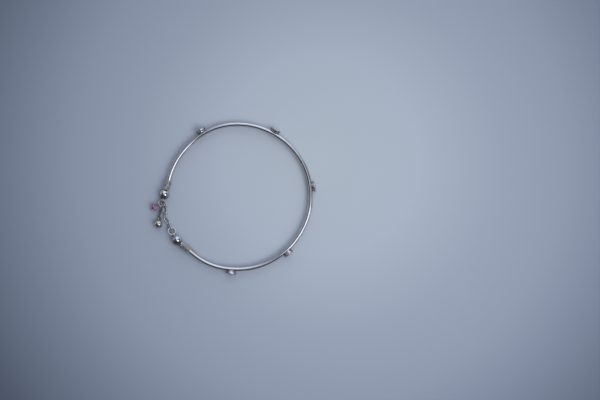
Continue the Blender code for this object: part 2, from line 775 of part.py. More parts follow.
def main():
    clear_scene()
    builder = Builder()
    build_hoop(builder, metal("polished_silver", (0.90, 0.90, 0.91), 0.12))
    build_sleeves(builder, metal("wound_silver", (0.82, 0.83, 0.84), 0.22))
    build_balls(builder, metal("ball_silver", (0.91, 0.91, 0.92), 0.06))
    build_chain(builder, metal("chain_silver", (0.86, 0.86, 0.87), 0.15))
    charm_silver = metal("charm_silver", (0.84, 0.85, 0.84), 0.15)
    build_charms(builder, charm_silver, cut_glass("pink_crystal", (0.80, 0.25, 0.50)))
    builder.centre_on_floor()


main()
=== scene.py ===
import math

import bmesh
import bpy
from mathutils import Matrix, Vector, noise


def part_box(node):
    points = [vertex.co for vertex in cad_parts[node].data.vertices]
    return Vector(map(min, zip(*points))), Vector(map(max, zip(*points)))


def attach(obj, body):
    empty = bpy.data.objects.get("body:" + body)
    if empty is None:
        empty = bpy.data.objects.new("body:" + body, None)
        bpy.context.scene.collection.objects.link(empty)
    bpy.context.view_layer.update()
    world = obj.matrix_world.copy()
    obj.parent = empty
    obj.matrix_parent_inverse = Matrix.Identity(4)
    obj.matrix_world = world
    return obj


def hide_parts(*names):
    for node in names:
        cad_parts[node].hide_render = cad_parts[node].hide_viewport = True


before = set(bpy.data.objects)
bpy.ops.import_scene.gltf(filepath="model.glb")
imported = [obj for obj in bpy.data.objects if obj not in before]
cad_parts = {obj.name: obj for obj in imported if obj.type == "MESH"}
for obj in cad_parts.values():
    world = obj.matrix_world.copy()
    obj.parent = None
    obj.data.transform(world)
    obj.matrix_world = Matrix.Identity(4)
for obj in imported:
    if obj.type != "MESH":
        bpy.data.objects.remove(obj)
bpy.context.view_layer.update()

UP = Vector((0.0, 0.0, 1.0))

# Camera: straight down, the photograph's frame of 600 by 400
IMAGE_WIDTH = 600
METRES_PER_PIXEL = 0.5533e-3
VIEW_CENTRE = (0.034083, -0.001715)  # from the hoop's centre
CAMERA_HEIGHT = 0.65
SENSOR_WIDTH = 36.0

# Clearances
FIT_GAP = 0.0002
LINK_GAP = 0.00038
FLOOR_GAP = 0.0001
WIRE_SWELL = 0.00014  # the worn wires fill most of the gap that the solids keep

# Wires
WIRE_SIDES = 16
PIN_SIDES = 12
BELL_LOOP_SIDES = 14
FILLET_SIDES = 24
ROUND_END_DEG = 86.0
SOLDER_LENGTH = 0.0007
SOLDER_GROWTH = 0.13
OVAL_SEAM = 18  # the point of the path where the wire was soldered shut
RING_SEAM = 30

# Hoop
HOOP_RADIUS = 0.0400
ROD_RADIUS = 0.0012
UPPER_END_DEG = 166.3
LOWER_END_DEG = -131.8
UPPER_FLARE_DEG = 4.2
LOWER_FLARE_DEG = 1.2
# Angle, and how far the hoop leaves its circle there, as a share of its radius
BENDS = (
    (-132.0, 0.008),
    (-115.0, 0.012),
    (-85.0, 0.000),
    (-40.0, -0.008),
    (0.0, 0.000),
    (22.0, 0.006),
    (60.0, 0.000),
    (105.0, 0.006),
    (143.0, -0.009),
    (167.0, -0.010),
)
ROD_WAVE = 0.000012  # how far the hand-finished rod's skin wanders
ROD_WAVE_SCALE = 130.0
ROD_SIDES = 40
END_STEPS = 6
PIN_SHOULDER = 0.0002  # length in which the rod narrows to its pin

# Studs
STUD_ANGLES_DEG = (119.6, 60.8, 7.7, -48.5, -95.4)
STUD_RIM_RADIUS = 0.0029
STUD_BASE_RADIUS = 0.0021
STUD_HEIGHT = 0.0017
STUD_RIM_THICKNESS = 0.0010
STUD_DOME = 0.0002
STUD_SIDES = 56
STUD_DOME_STEPS = 8
STUD_RIM_STEPS = 11
STUD_RIM_STEP_DEG = 15.0
STUD_WAIST_STEPS = 8
STUD_FACE_ROWS = 11  # rows of faces from the dome's middle to its rounded edge
STUD_SHOULDER_SHARE = 0.26  # where the waist leaves the rim, as a share of its rounding
STUD_SHOULDER_RISE = 0.00003
STUD_SINK = 0.0002  # how far the foot reaches into the rod
STUD_FOOT_ROWS = ((0.88, 0.0003), (0.5, 0.0004), (0.0, 0.0004))  # share of its radius, depth
HOOP_HEIGHT = STUD_RIM_RADIUS * math.cos(math.pi / 16)

# Sleeves
SLEEVE_WIRE = 0.0006
UPPER_SLEEVE_LENGTH = 0.0058
LOWER_SLEEVE_LENGTH = 0.0069
TAIL_LENGTH = 0.0042
TAIL_STANDOFF = 0.0001
TAIL_LIFT_DEG = 8.0
TAIL_ROOT_STEPS = 6
TAIL_ROOT_LENGTH = 0.0012  # how far the tail starts inside the coil
STRAND_RADIUS = 0.000155
STRAND_OFFSET = 0.000145  # from the rope's middle to a strand's
ROPE_PITCH = 0.00062
TWIST_LENGTH = 0.00135
TWIST_STEPS = 12
STRAND_SIDES = 6
SLEEVE_BORE_RADIUS = ROD_RADIUS + FIT_GAP
ROPE_COIL_RADIUS = SLEEVE_BORE_RADIUS + SLEEVE_WIRE / 2

# End balls
BALL_RADIUS = 0.00275
BALL_SIDES = 64
BALL_STEPS = 44
BALL_BORE_SHARE = 0.6
PIN_RADIUS = 0.0006
EYE_RADIUS = 0.00135
EYE_WIRE = 0.0006
EYE_STANDOFF = 0.0006
EYE_FILLET_SEAT = 0.97  # share of the ball's radius
EYE_FILLET = (
    (0.00062, -0.0001),
    (0.00056, 0.00004),
    (0.00044, 0.00016),
    (0.0003, 0.00026),
    (0.0, 0.0003),
)
UPPER_EYE_TURN_DEG = 9.0
LOWER_EYE_TURN_DEG = 20.0

# Closing chain
LINK_WIRE = 0.00062
LINK_LENGTH = 0.00485
LINK_WIDTH = 0.0032
LINK_LEAN_DEG = 53.5
FIRST_LINK_LEAN_DEG = 5.0
HOOK_WIRE = 0.00068
HOOK_RADIUS = 0.00114
HOOK_OPENING_DEG = 55.0
HOOK_LEAN_DEG = 56.0
CLOSING_RING_RADIUS = 0.0020
CLOSING_RING_WIRE = 0.0007
CLOSING_RING_LEAN_DEG = -18.0
# The chain's way between the eyes: share of the gap, how far aside, and share of the height
ROUTE = (
    (0.00, 0.000, 1.00),
    (0.20, 0.039, 0.05),
    (0.365, 0.055, 0.03),
    (0.515, 0.096, 0.04),
    (0.65, 0.059, 0.00),
    (0.83, 0.043, 0.43),
    (1.00, 0.000, 1.00),
)
ROUTE_STEPS = 600
PITCH_HALVINGS = 40

# Charms
CHARM_RING_RADIUS = 0.00175
CHARM_RING_WIRE = 0.00065
CRYSTAL_RADIUS = 0.0021
CRYSTAL_LENGTH = 0.0036
CRYSTAL_FACETS = 8
CRYSTAL_TABLE_SHARE = 0.52
CRYSTAL_SHOULDER_SHARE = 0.88
CRYSTAL_SHOULDER_HEIGHT = 0.52
CRYSTAL_PIN_WIRE = 0.0005
CRYSTAL_LOOP_RADIUS = 0.00095
CRYSTAL_HEAD_RADIUS = 0.0005
CRYSTAL_HEAD_SIDES = 20
CRYSTAL_HEAD_STEPS = 14
BELL_LINK_WIRE = 0.00055
BELL_LINK_LENGTH = 0.0076
BELL_LINK_WIDTH = 0.0024
BELL_RING_RADIUS = 0.00125
BELL_RING_WIRE = 0.0005
BELL_RADIUS = 0.00235
BELL_WALL = 0.0004
BELL_LOOP_RADIUS = 0.0009
BELL_LOOP_WIRE = 0.0005
BELL_LOOP_STANDOFF = 0.6
BELL_SLIT_WIDTH = 0.0006
BELL_SLIT_HOLE_RADIUS = 0.0005
BELL_SLIT_REACH = 0.65
BELL_HOLE_SPAN = (-0.3, -2.0)  # along the bell's axis, in its radii
BELL_HOLE_SIDES = 24
BELL_SEAM = 0.00006  # height of the raised line where its halves meet
BELL_SEAM_SPREAD = 0.06  # radians
BELL_OUTER_STEPS = 60
BELL_INNER_STEPS = 40
BELL_OUTER_SIDES = 64
BELL_INNER_SIDES = 48
BELL_SHARP_DEG = 40.0
BELL_FILLET_SINK = 0.0001
BELL_FILLET = ((0.00075, 0.0), (0.00062, 0.0001), (0.0004, 0.00022), (0.0, 0.0003))
# Poses: turn from the gap's azimuth, slope, and roll, in degrees
CHARM_RING_POSE = (-44.0, 0.0, 0.0)
CRYSTAL_POSE = (-73.0, -20.4, 85.0)
BELL_LINK_POSE = (-27.0, -16.6, -78.0)
BELL_RING_POSE = (-22.0, -13.0, 42.0)
BELL_POSE = (-27.0, 23.0, -59.0)
CRYSTAL_SEAT_DEG = 43.0
BELL_SEAT_DEG = -14.0

# Silver finishes: the colour where bright, where dull, and the dark painted shade on faces turned
# away from the lit side, standing in for shade and dark reflections. Reach says how squarely a
# surface faces the lit side where the painted shade begins to go and is all gone
FINISHES = {
    "hoop_silver": dict(
        bright=(0.94, 0.95, 0.97),
        dull=(0.85, 0.85, 0.88),
        painted_shade=(0.32, 0.33, 0.36),
        roughness=0.05,
        edge=0.5,
    ),
    "stud_silver": dict(
        bright=(0.97, 0.97, 0.98),
        dull=(0.90, 0.90, 0.91),
        painted_shade=(0.07, 0.07, 0.075),
        roughness=0.16,
        reach=(0.20, 0.60),
        edge=0.4,
    ),
    "rope_silver": dict(
        bright=(0.97, 0.97, 0.96),
        dull=(0.74, 0.75, 0.73),
        painted_shade=(0.10, 0.11, 0.10),
        roughness=0.26,
        grain=3.0,
        reach=(0.0, 0.40),
    ),
    "end_ball_silver": dict(
        bright=(0.94, 0.94, 0.95),
        dull=(0.88, 0.88, 0.89),
        painted_shade=(0.20, 0.20, 0.22),
        roughness=0.03,
        scratches=0.01,
        reach=(0.10, 0.72),
        edge=0.5,
    ),
    "link_silver": dict(
        bright=(0.99, 0.98, 1.00),
        dull=(0.93, 0.92, 0.95),
        painted_shade=(0.13, 0.13, 0.14),
        roughness=0.27,
        grain=2.0,
        reach=(-0.05, 0.34),
        edge=0.8,
    ),
    "charm_metal": dict(
        bright=(0.95, 0.95, 0.90),
        dull=(0.66, 0.68, 0.60),
        painted_shade=(0.15, 0.16, 0.135),
        roughness=0.14,
        grain=2.0,
        reach=(0.05, 0.60),
        edge=0.5,
    ),
}
PLAIN_FINISH = dict(grain=1.0, scratches=0.02, reach=(0.05, 0.70), edge=1.0)
BALL_LIT_SIDE_DEG = (80.0, 62.0)  # azimuth and slope of the side the balls' painted dark reflection leaves bright
FILM_SCALE = 240.0
FILM_STOPS = (0.32, 0.58)  # where the film is all dull, and all bright
GLOSS_SCALE = 900.0
GLOSS_STOPS = (0.3, 0.7)
GLOSS_SPREAD = (0.7, 1.5)  # least and most roughness, as shares of the finish's
SCRATCH_SCALES = (900.0, 5200.0, 2600.0)
SCRATCH_DEPTH = 0.00004

# Crystal
CRYSTAL_IOR = 1.75
CRYSTAL_ROUGHNESS = 0.03
CRYSTAL_TRANSMISSION = 0.55
CRYSTAL_CLOUD_SCALE = 900.0
CRYSTAL_CLOUD_SHARE = 0.25
CRYSTAL_FACET_SCALE = 5.3
CRYSTAL_SHADE_TO_GLINT_STOPS = (
    (0.48, (0.30, 0.03, 0.19)),
    (0.55, (0.74, 0.22, 0.54)),
    (0.63, (0.92, 0.58, 0.86)),
    (0.70, (1.0, 0.94, 1.0)),
)

# A painted pool of light on the floor: the card is painted lightest beside the hoop and darker
# outward
FLOOR_HEART = (0.0455, 0.0230)
FLOOR_FADE = 0.22
FLOOR_LIGHT_POOL_STOPS = (
    (0.0, (0.84, 0.93, 1.00)),
    (0.25, (0.78, 0.87, 0.98)),
    (0.45, (0.61, 0.69, 0.82)),
    (0.62, (0.52, 0.59, 0.72)),
    (0.78, (0.36, 0.42, 0.54)),
    (1.0, (0.15, 0.19, 0.26)),
)
FLOOR_SIZE = 3.0
FLOOR_ROUGHNESS = 0.7
FLOOR_GRAIN_SCALE = 2600.0
FLOOR_GRAIN = 0.08
FLOOR_GRAIN_DEPTH = 0.0001

# The studio surround: a dim room with broad soft glows in it.
# Azimuth and elevation of each, its full and faded half widths in degrees, and its radiance
SURROUND_STRENGTH = 1.4
SURROUND_BASE = (0.028, 0.028, 0.034)
SURROUND_GLOWS = (
    (74.0, 22.0, 20.0, 50.0, (0.38, 0.40, 0.46)),
    (88.0, 46.0, 10.0, 38.0, (0.15, 0.165, 0.19)),
    (-15.0, 50.0, 8.0, 30.0, (0.15, 0.16, 0.17)),
    (52.0, 80.0, 4.0, 28.0, (0.33, 0.34, 0.38)),
    (155.0, 12.0, 12.0, 38.0, (0.16, 0.16, 0.18)),
    (-8.0, 4.0, 8.0, 26.0, (0.10, 0.10, 0.11)),
)

# Two soft lights at one place: a small one that the metal shows, and a large one for the card
LIGHT_AZIMUTH_DEG = -30.0
LIGHT_SLOPE_DEG = 54.0
LIGHT_DISTANCE = 0.9
LIGHT_COLOUR = (1.0, 1.02, 1.08)
KEY_SIZE = 0.42
KEY_POWER = 0.85
FILL_SIZE = 0.95
FILL_POWER = 2.34


# Axes and paths


def lying_frame(direction, roll_deg):
    """Axes of a flat piece: X along the direction, Y to its left, lifted by the roll."""
    x = direction.normalized()
    y = Matrix.Rotation(math.radians(roll_deg), 3, x) @ UP.cross(x).normalized()
    return Matrix((x, y, x.cross(y))).transposed()


def axis_frame(direction, roll_deg=0.0):
    """Axes of a turned piece: Z along the direction, X rolled about it."""
    z = direction.normalized()
    x = Matrix.Rotation(math.radians(roll_deg), 3, z) @ UP.cross(z).normalized()
    return Matrix((x, z.cross(x), z)).transposed()


def placed(centre, axes):
    return Matrix.Translation(SHIFT + centre) @ axes.to_4x4()


def heading(azimuth_deg, slope_deg):
    azimuth = math.radians(azimuth_deg)
    slope = math.radians(slope_deg)
    flat = Vector((math.cos(azimuth), math.sin(azimuth), 0.0))
    return flat * math.cos(slope) + UP * math.sin(slope)


def azimuth_of(direction):
    return math.degrees(math.atan2(direction.y, direction.x))


def arc(radius, start_deg, end_deg, steps, centre=(0.0, 0.0)):
    points = []
    for step in range(steps + 1):
        angle = math.radians(start_deg + (end_deg - start_deg) * step / steps)
        x, y = radius * math.cos(angle), radius * math.sin(angle)
        points.append((centre[0] + x, centre[1] + y))
    return points


def flat_path(pairs):
    return [Vector((x, y, 0.0)) for x, y in pairs]


def oval_path(length, width, bend_steps=18):
    bend = width / 2
    straight = length / 2 - bend
    right = arc(bend, -90.0, 90.0, bend_steps, (straight, 0.0))
    left = arc(bend, 90.0, 270.0, bend_steps, (-straight, 0.0))
    return flat_path(right + left)


def ring_path(radius, steps=48):
    return flat_path(arc(radius, 0.0, 360.0, steps)[:-1])


def hook_path(steps=30):
    upper = arc(HOOK_RADIUS, -90.0 + HOOK_OPENING_DEG, 270.0, steps, (0.0, HOOK_RADIUS))
    lower = arc(HOOK_RADIUS, 90.0, HOOK_OPENING_DEG - 270.0, steps, (0.0, -HOOK_RADIUS))
    return flat_path((y, -x) for x, y in upper + lower[1:])


# Layout of the hoop and its ends, as in the solids


def bend_share(angle_deg):
    if angle_deg <= BENDS[0][0]:
        return BENDS[0][1]
    for (start, first), (end, second) in zip(BENDS, BENDS[1:]):
        if angle_deg <= end:
            ease = 0.5 - 0.5 * math.cos(math.pi * (angle_deg - start) / (end - start))
            return first + (second - first) * ease
    return BENDS[-1][1]


def hoop_point(angle_deg):
    radius = HOOP_RADIUS * (1.0 + bend_share(angle_deg))
    angle = math.radians(angle_deg)
    return Vector((radius * math.cos(angle), radius * math.sin(angle), HOOP_HEIGHT))


class RodEnd:
    """Places along one straight end of the rod, from the end of the arc outward."""

    def __init__(self, angle_deg, turn, flare_deg, sleeve_length, eye_turn_deg):
        self.start = hoop_point(angle_deg)
        azimuth = angle_deg + turn * (90.0 - flare_deg)
        self.direction = heading(azimuth, 0.0)
        self.eye_direction = heading(azimuth + turn * eye_turn_deg, 0.0)
        self.sleeve_length = sleeve_length
        seat = math.sqrt(BALL_RADIUS**2 - SLEEVE_BORE_RADIUS**2)
        self.ball_along = sleeve_length + FIT_GAP + seat
        self.rod_along = self.ball_along - seat - 2 * FIT_GAP
        self.ball = self.at(self.ball_along)
        self.eye = self.ball + self.eye_direction * (BALL_RADIUS + EYE_STANDOFF)

    def at(self, along):
        return self.start + self.direction * along


UPPER = RodEnd(UPPER_END_DEG, 1.0, UPPER_FLARE_DEG, UPPER_SLEEVE_LENGTH, UPPER_EYE_TURN_DEG)
LOWER = RodEnd(LOWER_END_DEG, -1.0, LOWER_FLARE_DEG, LOWER_SLEEVE_LENGTH, LOWER_EYE_TURN_DEG)
EYE_SHARE = (LINK_WIRE + CHARM_RING_WIRE) / 4 + LINK_GAP / 2
CHAIN_START = UPPER.eye - UP * EYE_SHARE
CHARM_START = UPPER.eye + UP * EYE_SHARE
EYE_REACH = EYE_RADIUS - (EYE_WIRE + CLOSING_RING_WIRE) / 2 - LINK_GAP
CHAIN_END = LOWER.eye + LOWER.eye_direction * EYE_REACH
GAP_AZIMUTH = azimuth_of(CHAIN_END - CHAIN_START)


# Layout of the chain, as in the solids


def hold(wire):
    return (wire + LINK_GAP) / 2


def catmull(values, share):
    before, first, second, after = values
    return 0.5 * (
        2 * first
        + (second - before) * share
        + (2 * before - 5 * first + 4 * second - after) * share**2
        + (3 * first - before - 3 * second + after) * share**3
    )


def route_row(share):
    place = share * (len(ROUTE) - 1)
    row = min(int(place), len(ROUTE) - 2)
    near = [ROUTE[max(0, min(len(ROUTE) - 1, row + step))] for step in (-1, 0, 1, 2)]
    return [catmull([columns[i] for columns in near], place - row) for i in range(3)]


def taut_pitch():
    return LINK_LENGTH - LINK_WIRE - 2 * hold(LINK_WIRE)


def spans(pitch, count):
    hook = 4 * HOOK_RADIUS - 2 * hold(HOOK_WIRE)
    ring = 2 * CLOSING_RING_RADIUS - hold(CLOSING_RING_WIRE)
    return [pitch + hold(LINK_WIRE)] + [pitch] * (count - 1) + [hook, ring]


def route():
    line = CHAIN_END - CHAIN_START
    aside = Vector((line.y, -line.x, 0.0)).normalized() * line.length
    half_width = (LINK_WIDTH - LINK_WIRE) / 2
    lying = half_width * math.sin(math.radians(LINK_LEAN_DEG)) + LINK_WIRE / 2 + FLOOR_GAP
    points = []
    for step in range(ROUTE_STEPS + 1):
        along, away, lift = route_row(step / ROUTE_STEPS)
        point = CHAIN_START + line * along + aside * away
        point.z = lying + (CHAIN_START.z + line.z * along - lying) * max(0.0, lift)
        points.append(point)
    return points


def walk(points, lengths):
    joints = [points[0]]
    place = 0
    for length in lengths:
        while place < len(points) - 1 and (points[place] - joints[-1]).length < length:
            place += 1
        joints.append(joints[-1] + (points[place] - joints[-1]).normalized() * length)
    end = (points[-1] - points[-2]).normalized()
    return joints, (joints[-1] - points[-1]).dot(end)


def link_count():
    points = route()
    count = 1
    while walk(points, spans(taut_pitch(), count))[1] < 0.0:
        count += 1
    return count


def chain_joints(count):
    points = route()
    low = 0.0
    high = taut_pitch()
    for _ in range(PITCH_HALVINGS):
        pitch = (low + high) / 2
        if walk(points, spans(pitch, count))[1] > 0.0:
            high = pitch
        else:
            low = pitch
    joints = walk(points, spans(high, count))[0]
    joints[-1] = CHAIN_END
    return joints


LINKS = link_count()
JOINTS = chain_joints(LINKS)
CLOSING_DIRECTION = (JOINTS[LINKS + 2] - JOINTS[LINKS + 1]).normalized()
CLOSING_CENTRE = JOINTS[LINKS + 2] - CLOSING_DIRECTION * CLOSING_RING_RADIUS


def box_middle(node):
    low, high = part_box(node)
    return Vector([(low[i] + high[i]) / 2 for i in range(3)])


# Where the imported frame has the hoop's centre
SHIFT = box_middle("closing_ring") - CLOSING_CENTRE
SHIFT.z = 0.0


# Layout of the charms, as in the solids


def charm_direction(pose):
    return heading(GAP_AZIMUTH + pose[0], pose[1])


def charm_axes(pose):
    return lying_frame(charm_direction(pose), pose[2])


def next_hold(wire_point, direction, wire, next_wire):
    return wire_point - direction * (wire / 2 + next_wire / 2 + LINK_GAP)


class Charms:
    """Centres and axes of the charm ring and of what hangs from it."""

    def __init__(self):
        self.ring_axes = charm_axes(CHARM_RING_POSE)
        self.ring = CHARM_START + self.ring_axes.col[0] * CHARM_RING_RADIUS

        seat = self.ring_seat(CRYSTAL_SEAT_DEG)
        self.crystal_direction = charm_direction(CRYSTAL_POSE)
        near = next_hold(seat, self.crystal_direction, CHARM_RING_WIRE, CRYSTAL_PIN_WIRE)
        self.crystal_loop = near + self.crystal_direction * CRYSTAL_LOOP_RADIUS
        self.crystal_axes = charm_axes(CRYSTAL_POSE)

        seat = self.ring_seat(BELL_SEAT_DEG)
        self.link_axes = charm_axes(BELL_LINK_POSE)
        direction = self.link_axes.col[0]
        near = next_hold(seat, direction, CHARM_RING_WIRE, BELL_LINK_WIRE)
        far = near + direction * (BELL_LINK_LENGTH - BELL_LINK_WIRE)
        self.link = (near + far) / 2

        self.bell_ring_axes = charm_axes(BELL_RING_POSE)
        direction = self.bell_ring_axes.col[0]
        near = next_hold(far, direction, BELL_LINK_WIRE, BELL_RING_WIRE)
        self.bell_ring = near + direction * BELL_RING_RADIUS
        far = near + direction * 2 * BELL_RING_RADIUS

        self.bell_direction = charm_direction(BELL_POSE)
        near = next_hold(far, self.bell_direction, BELL_RING_WIRE, BELL_LOOP_WIRE)
        self.bell_loop = near + self.bell_direction * BELL_LOOP_RADIUS
        self.bell_axes = charm_axes(BELL_POSE)
        standoff = BELL_RADIUS + BELL_LOOP_RADIUS * BELL_LOOP_STANDOFF
        self.bell = self.bell_loop + self.bell_direction * standoff

    def ring_seat(self, angle_deg):
        angle = math.radians(angle_deg)
        across = self.ring_axes.col[0] * math.cos(angle) - self.ring_axes.col[1] * math.sin(angle)
        return self.ring + across * CHARM_RING_RADIUS


# Mesh tools


def steady_frames(points, closed):
    """A pair of side axes at each point of a path, turned as little as can be."""
    count = len(points)
    tangents = []
    for i in range(count):
        after = (i + 1) % count if closed else min(i + 1, count - 1)
        before = i - 1 if closed else max(i - 1, 0)
        tangents.append((points[after] - points[before]).normalized())
    start = UP if abs(tangents[0].z) < 0.9 else Vector((1.0, 0.0, 0.0))
    side = (start - tangents[0] * start.dot(tangents[0])).normalized()
    sides = [side]
    for tangent in tangents[1:]:
        side = (side - tangent * side.dot(tangent)).normalized()
        sides.append(side)
    if closed:
        tangent = tangents[0]
        last = (side - tangent * side.dot(tangent)).normalized()
        drift = math.atan2(tangent.dot(last.cross(sides[0])), last.dot(sides[0]))
        for i in range(count):
            turn = Matrix.Rotation(drift * i / count, 3, tangents[i])
            sides[i] = turn @ sides[i]
    return [(side, tangent.cross(side)) for side, tangent in zip(sides, tangents)]


def add_ring(bm, centre, axes, radius, sides):
    ring = []
    for i in range(sides):
        angle = 2 * math.pi * i / sides
        spoke = axes[0] * math.cos(angle) + axes[1] * math.sin(angle)
        ring.append(bm.verts.new(centre + spoke * radius))
    return ring


def bridge(bm, first, second):
    count = len(first)
    for i in range(count):
        j = (i + 1) % count
        bm.faces.new((first[i], first[j], second[j], second[i]))


def sweep(bm, points, radius, sides=PIN_SIDES, closed=False, round_ends=True):
    """Adds a round wire along the points; radius is one number or one for each point."""
    points = list(points)
    radii = list(radius) if isinstance(radius, (list, tuple)) else [radius] * len(points)
    if not closed and round_ends:
        points, radii = rounded_ends(points, radii)
    axes = steady_frames(points, closed)
    rings = []
    for point, axis, ring_radius in zip(points, axes, radii):
        rings.append(add_ring(bm, point, axis, ring_radius, sides))
    for first, second in zip(rings, rings[1:]):
        bridge(bm, first, second)
    if closed:
        bridge(bm, rings[-1], rings[0])
    else:
        bm.faces.new(rings[0][::-1])
        bm.faces.new(rings[-1])


def rounded_ends(points, radii, steps=4):
    """Adds a half ball at both ends of a wire."""
    for _ in range(2):
        points = points[::-1]
        radii = radii[::-1]
        outward = (points[-1] - points[-2]).normalized()
        end = points[-1]
        radius = radii[-1]
        for step in range(1, steps + 1):
            angle = math.radians(ROUND_END_DEG) * step / steps
            points = points + [end + outward * radius * math.sin(angle)]
            radii = radii + [radius * math.cos(angle)]
    return points, radii


def lathe(bm, profile, sides, matrix):
    """Adds a shape turned about the matrix's Z, from (radius, height) points."""
    rows = []
    for radius, height in profile:
        if radius < 1e-7:
            rows.append([bm.verts.new(matrix @ Vector((0.0, 0.0, height)))])
        else:
            corners = arc(radius, 0.0, 360.0, sides)[:-1]
            rows.append([bm.verts.new(matrix @ Vector((x, y, height))) for x, y in corners])
    for first, second in zip(rows, rows[1:]):
        for i in range(sides):
            j = (i + 1) % sides
            if len(first) == 1:
                bm.faces.new((first[0], second[j], second[i]))
            elif len(second) == 1:
                bm.faces.new((first[i], first[j], second[0]))
            else:
                bm.faces.new((first[i], first[j], second[j], second[i]))


def finished(bm, name, sharp_deg=55.0, smooth=True):
    bmesh.ops.recalc_face_normals(bm, faces=bm.faces)
    mesh = bpy.data.meshes.new(name)
    bm.to_mesh(mesh)
    bm.free()
    if smooth:
        mesh.shade_smooth()
        mesh.set_sharp_from_angle(angle=math.radians(sharp_deg))
    return mesh


def moved(points, matrix):
    return [matrix @ point for point in points]


def add_piece(mesh, material, node):
    piece = bpy.data.objects.new(f"{node}_dressed", mesh)
    bpy.context.scene.collection.objects.link(piece)
    mesh.materials.append(material)
    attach(piece, "root")
    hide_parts(node)
    return piece


# Materials


def new_material(name):
    material = bpy.data.materials.new(name)
    material.use_nodes = True
    tree = material.node_tree
    return material, tree, tree.nodes["Principled BSDF"]


def object_coordinates(tree):
    return tree.nodes.new("ShaderNodeTexCoord").outputs["Object"]


def vector_node(tree, operation, source, second):
    node = tree.nodes.new("ShaderNodeVectorMath")
    node.operation = operation
    node.inputs[1].default_value = second
    tree.links.new(source, node.inputs[0])
    return node


def bump_node(tree, height, strength, distance):
    bump = tree.nodes.new("ShaderNodeBump")
    bump.inputs["Strength"].default_value = strength
    bump.inputs["Distance"].default_value = distance
    tree.links.new(height, bump.inputs["Height"])
    return bump.outputs["Normal"]


def noise_node(tree, coordinates, scale, detail=4.0, stretch=None):
    texture = tree.nodes.new("ShaderNodeTexNoise")
    texture.inputs["Scale"].default_value = scale
    texture.inputs["Detail"].default_value = detail
    if stretch:
        mapping = tree.nodes.new("ShaderNodeMapping")
        mapping.inputs["Scale"].default_value = stretch
        tree.links.new(coordinates, mapping.inputs["Vector"])
        coordinates = mapping.outputs["Vector"]
    tree.links.new(coordinates, texture.inputs["Vector"])
    return texture.outputs["Fac"]


def ramp_node(tree, source, stops):
    stops = list(stops)
    ramp = tree.nodes.new("ShaderNodeValToRGB")
    elements = ramp.color_ramp.elements
    while len(elements) < len(stops):
        elements.new(0.5)
    for element, (position, colour) in zip(elements, stops):
        element.position = position
        element.color = (*colour, 1.0)
    tree.links.new(source, ramp.inputs["Fac"])
    return ramp.outputs["Color"]


def range_node(tree, source, low, high, out_low, out_high):
    node = tree.nodes.new("ShaderNodeMapRange")
    node.inputs["From Min"].default_value = low
    node.inputs["From Max"].default_value = high
    node.inputs["To Min"].default_value = out_low
    node.inputs["To Max"].default_value = out_high
    tree.links.new(source, node.inputs["Value"])
    return node.outputs["Result"]


def painted_shade_colour(tree, colour, painted_shade, reach, lit_side):
    """The colour, with painted shade where the surface turns away from its lit side."""
    normal = tree.nodes.new("ShaderNodeNewGeometry").outputs["Normal"]
    facing = vector_node(tree, "DOT_PRODUCT", normal, lit_side)
    unshaded_share = range_node(tree, facing.outputs["Value"], *reach, 0.0, 1.0)
    mix = tree.nodes.new("ShaderNodeMix")
    mix.data_type = "RGBA"
    mix.inputs["A"].default_value = (*painted_shade, 1.0)
    tree.links.new(unshaded_share, mix.inputs["Factor"])
    tree.links.new(colour, mix.inputs["B"])
    return mix.outputs["Result"]


def silver(name, lit_side=UP):
    """Silver bright on its lit side and darker beyond it in painted shade, with fine marks and
    uneven gloss.
    """
    finish = {**PLAIN_FINISH, **FINISHES[name]}
    grain = finish["grain"]
    material, tree, shader = new_material(name)
    coordinates = object_coordinates(tree)
    film = noise_node(tree, coordinates, FILM_SCALE * grain, 5.0)
    colour = ramp_node(tree, film, zip(FILM_STOPS, (finish["dull"], finish["bright"])))
    # painted shade: a dark colour on faces turned away from the lit side, standing in for shade
    # and dark reflections
    colour = painted_shade_colour(tree, colour, finish["painted_shade"], finish["reach"], lit_side)
    tree.links.new(colour, shader.inputs["Base Color"])
    gloss = noise_node(tree, coordinates, GLOSS_SCALE * grain, 6.0)
    least, most = (finish["roughness"] * share for share in GLOSS_SPREAD)
    rough = range_node(tree, gloss, *GLOSS_STOPS, least, most)
    tree.links.new(rough, shader.inputs["Roughness"])
    marks = noise_node(tree, coordinates, 1.0, 2.0, SCRATCH_SCALES)
    normal = bump_node(tree, marks, finish["scratches"], SCRATCH_DEPTH)
    tree.links.new(normal, shader.inputs["Normal"])
    shader.inputs["Metallic"].default_value = 1.0
    shader.inputs["Specular Tint"].default_value = (*[finish["edge"]] * 3, 1.0)
    return material


def crystal_glass():
    """Pink cut glass with a slightly cloudy heart; each facet is painted from deep shade to a
    near-white glint by which way it faces.
    """
    material, tree, shader = new_material("pink_crystal")
    cloud = noise_node(tree, object_coordinates(tree), CRYSTAL_CLOUD_SCALE, 4.0)
    # painted glints and shade: each facet's colour is picked by its facing, from deep magenta
    # shade to near-white glint
    facet_normal = tree.nodes.new("ShaderNodeNewGeometry").outputs["True Normal"]
    facet = noise_node(tree, facet_normal, CRYSTAL_FACET_SCALE, 1.0)
    depth = tree.nodes.new("ShaderNodeMath")
    depth.operation = "MULTIPLY_ADD"
    depth.inputs[1].default_value = CRYSTAL_CLOUD_SHARE
    tree.links.new(cloud, depth.inputs[0])
    tree.links.new(facet, depth.inputs[2])
    colour = ramp_node(tree, depth.outputs["Value"], CRYSTAL_SHADE_TO_GLINT_STOPS)
    tree.links.new(colour, shader.inputs["Base Color"])
    shader.inputs["Roughness"].default_value = CRYSTAL_ROUGHNESS
    shader.inputs["IOR"].default_value = CRYSTAL_IOR
    shader.inputs["Transmission Weight"].default_value = CRYSTAL_TRANSMISSION
    return material


